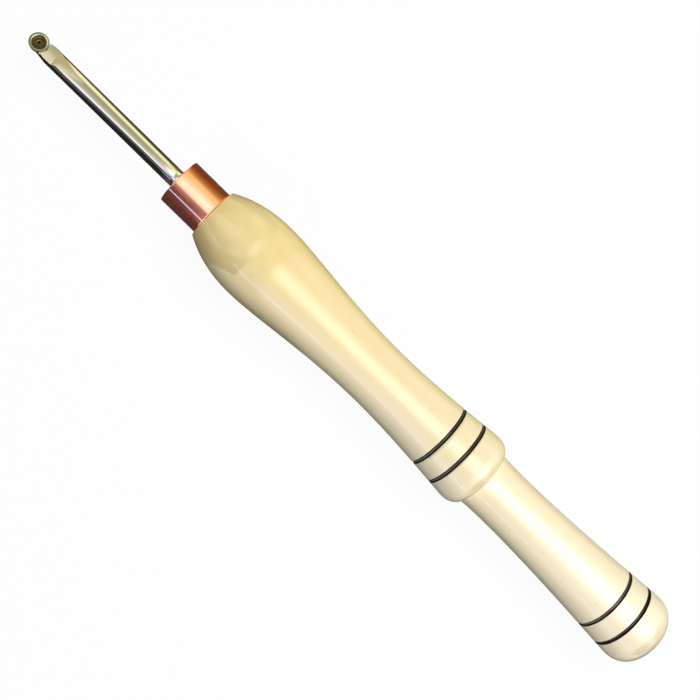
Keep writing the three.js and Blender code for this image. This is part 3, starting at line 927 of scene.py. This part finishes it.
run_out = [
    [nose_spot(RUN_OUT_START, 4.8), nose_spot(RUN_OUT_START, 4.8), nose_spot(18.5, 4.62)],
    [nose_spot(11.9, 2.95), nose_spot(13.6, 3.95), nose_spot(11.5, 2.717)],
    [nose_spot(FLAT_START, FLAT), nose_spot(11.07, FLAT), nose_spot(FLAT_START, FLAT)],
]
ends = [nose_spot(FLAT_START - step, FLAT) for step in range(16)]
ends += [
    nose_spot(-2 * CLEAR, FLAT), nose_spot(-2 * CLEAR, CLEAR), nose_spot(RUN_OUT_START, CLEAR),
    nose_spot(RUN_OUT_START, 4.8),
]
top_cut = slab("top_cut", [(run_out, 24), (ends, 1)], (0, CUT_WIDTH * MM, 0), steps=16)
for vertex in top_cut.data.vertices:
    vertex.co.z -= CROWN * MM * (vertex.co.y / (4 * MM)) ** 2
mill(bar, top_cut)

# %% The rest flat below and the relief under the nose
REST = -4.05  # the flat, over the axis
REST_START = 76
REST_END = 9
NOSE_END = -6.4
RELIEF = 0.135  # the slope of the relief

under_nose = REST + RELIEF * (REST_END - NOSE_END)
below = [
    nose_spot(79, -CLEAR), nose_spot(NOSE_END, -CLEAR), nose_spot(NOSE_END, under_nose),
    nose_spot(REST_END, REST), nose_spot(REST_START, REST), nose_spot(77.5, REST - 0.15),
    nose_spot(79, -5.1), nose_spot(79, -CLEAR),
]
mill(bar, slab("bottom_cut", [(below, 1)], (0, CUT_WIDTH * MM, 0)))

# %% The rounded nose seen from above
NOSE = 3.2
KAPPA = 0.5523 * NOSE  # pull of a Bezier quarter circle
PLAN_DEPTH = 12  # the plan is drawn this far below the axis, and reaches as far over it


def plan_spot(ahead, left):
    return spot(CUTTER + ahead, left, -PLAN_DEPTH)


plan = [
    [plan_spot(-9, -BAR_RADIUS), plan_spot(-9, -BAR_RADIUS), plan_spot(-5.1, -3.72)],
    [plan_spot(0, -NOSE), plan_spot(-2.1, -NOSE), plan_spot(KAPPA, -NOSE)],
    [plan_spot(NOSE, 0), plan_spot(NOSE, -KAPPA), plan_spot(NOSE, KAPPA)],
    [plan_spot(0, NOSE), plan_spot(KAPPA, NOSE), plan_spot(-2.1, NOSE)],
    [plan_spot(-9, BAR_RADIUS), plan_spot(-5.1, 3.72), plan_spot(-9, BAR_RADIUS)],
]
rest_of_bar = [
    plan_spot(-9, BAR_RADIUS), plan_spot(-10, 9), plan_spot(-200, 9),
    plan_spot(-200, -9), plan_spot(-10, -9), plan_spot(-9, -BAR_RADIUS),
]
mill(bar, slab("nose_plan", [(plan, 20), (rest_of_bar, 1)], (0, 0, 2 * PLAN_DEPTH * MM)), "INTERSECT")

# %% The pocket and the screw's hole
INSERT_SEAT = 0.35  # the cutter's underside, over the axis
INSERT_THICKNESS = 2.4
POCKET_RADIUS = 5.45
POCKET_FLOOR = INSERT_SEAT - 0.1
HOLE_RADIUS = 1.55
DRILL_REACH = 8  # over the axis and below it


def upright_drill(name, radius, low):
    """A cylinder about the cutter's axis, from a height over the bar's axis to well over the bar."""
    bpy.ops.object.select_all(action="DESELECT")
    bpy.ops.mesh.primitive_cylinder_add(
        vertices=96, radius=radius * MM, depth=(DRILL_REACH - low) * MM,
        location=spot(CUTTER, 0, (low + DRILL_REACH) / 2),
    )
    bpy.ops.object.transform_apply(location=True, rotation=True, scale=True)
    drill = bpy.context.active_object
    drill.name = name
    return drill


mill(bar, upright_drill("pocket_cut", POCKET_RADIUS, POCKET_FLOOR))
mill(bar, upright_drill("hole_cut", HOLE_RADIUS, -DRILL_REACH))

# %% Sharp edges between the finishes
only(bar)
bpy.ops.object.mode_set(mode="EDIT")
choose(bar, "EDGE", lambda e: len({face.material_index for face in e.link_faces}) > 1)
bpy.ops.mesh.mark_sharp()
bpy.ops.object.mode_set(mode="OBJECT")
finish_piece(bar, stainless, "tool_bar", "tool", smooth=25)

# %% [markdown]
# ## The cutter
#
# The cutter is a small tapered disc, so that only its upper edge touches the wood. A ground rim lies inside
# the edge, then a dish, and a countersunk hole for the screw. It is turned about its own upright axis.

# %% Cutter
# Points as (distance from its axis, height over its seat), from the hole under the disc and round to the hole
insert_line = [spot(CUTTER + radius, 0, INSERT_SEAT + over) for radius, over in (
    (HOLE_RADIUS, 0), (4.577, 0), (4.6, 0.05),
    (CUTTER_RADIUS - 0.02, 2.36), (CUTTER_RADIUS - 0.04, INSERT_THICKNESS),
    (4.25, 2.37), (4.16, 2.36), (DISH_EDGE, 2.3), (3.71, 2.25), (3.2, 1.99), (3.1, 1.95),
    (2.62, 1.95), (2.55, 1.92), (HOLE_RADIUS, 0.9), (HOLE_RADIUS, 0),
)]
insert = draw("round_cutter", [(insert_line, 1)])
spin(insert, 128, spot(CUTTER), (0, 0, 1))
finish_piece(insert, carbide, "cutter_insert", "insert", smooth=12)

# %% [markdown]
# ## The screw
#
# The screw has a 90 degree head with a hex socket. Its shank is hidden in the nose until it is backed out,
# and it carries a real thread: the shank is spun with rings a twelfth of the pitch apart, and each of its
# points is then moved in by where it stands on the helix. The thread deepens over its first turn.

# %% Screw
SCREW_TOP = 2.3  # over the axis. The heights below are over this
SCREW_LENGTH = 4.9
HEAD_RADIUS = 2.2
SOCKET = 1.6  # across its flats
SHANK_RADIUS = 1.42
END_CHAMFER = 0.3
PITCH = 0.45
RINGS_PER_PITCH = 12
THREAD_START = -1.1
THREAD_DEPTH = 0.24

screw_profile = [(0, -0.15), (SOCKET / 2, -0.15), (1.0, -0.06), (1.12, -0.02), (1.2, 0), (2.08, 0),
                 (2.16, -0.03), (HEAD_RADIUS, -0.1), (SHANK_RADIUS, THREAD_START + 0.22)]
thread_rings = round((SCREW_LENGTH - END_CHAMFER + THREAD_START) / PITCH * RINGS_PER_PITCH)
for ring in range(thread_rings + 1):
    screw_profile.append((SHANK_RADIUS, THREAD_START - ring * PITCH / RINGS_PER_PITCH))
screw_profile += [(SHANK_RADIUS - END_CHAMFER, -SCREW_LENGTH), (0, -SCREW_LENGTH)]
screw = draw("clamp_screw", [([spot(CUTTER + r, 0, SCREW_TOP + z) for r, z in screw_profile], 1)])
spin(screw, 48, spot(CUTTER), (0, 0, 1))
print("the thread has", thread_rings, "rings, or", round(thread_rings / RINGS_PER_PITCH, 1), "turns")

# %% Thread
for vertex in screw.data.vertices:
    offset = vertex.co - spot(CUTTER, 0, SCREW_TOP)
    radius = math.hypot(offset.x, offset.y)
    if offset.z > (THREAD_START - 0.05) * MM or radius < (SHANK_RADIUS - 0.05) * MM:
        continue
    phase = (offset.z / (PITCH * MM) - math.atan2(offset.y, offset.x) / (2 * math.pi)) % 1
    ease = min(1, (THREAD_START - offset.z / MM) / PITCH)
    inward = THREAD_DEPTH * abs(2 * phase - 1) * ease * MM
    vertex.co.x -= offset.x / radius * inward
    vertex.co.y -= offset.y / radius * inward
print("the thread is", THREAD_DEPTH, "mm deep")

# %% Socket
SOCKET_DEPTH = 1.1

bpy.ops.object.select_all(action="DESELECT")
bpy.ops.mesh.primitive_cylinder_add(
    vertices=6, radius=SOCKET / math.sqrt(3) * MM, depth=2 * SOCKET_DEPTH * MM,
    location=spot(CUTTER, 0, SCREW_TOP),
)
bpy.ops.object.transform_apply(location=True, rotation=True, scale=True)
hex_key = bpy.context.active_object
only(screw)
boolean = screw.modifiers.new("socket", "BOOLEAN")
boolean.object, boolean.operation, boolean.solver = hex_key, "DIFFERENCE", "EXACT"
bpy.ops.object.modifier_apply(modifier="socket")
bpy.data.objects.remove(hex_key)
finish_piece(screw, screw_steel, "cutter_screw", "screw")
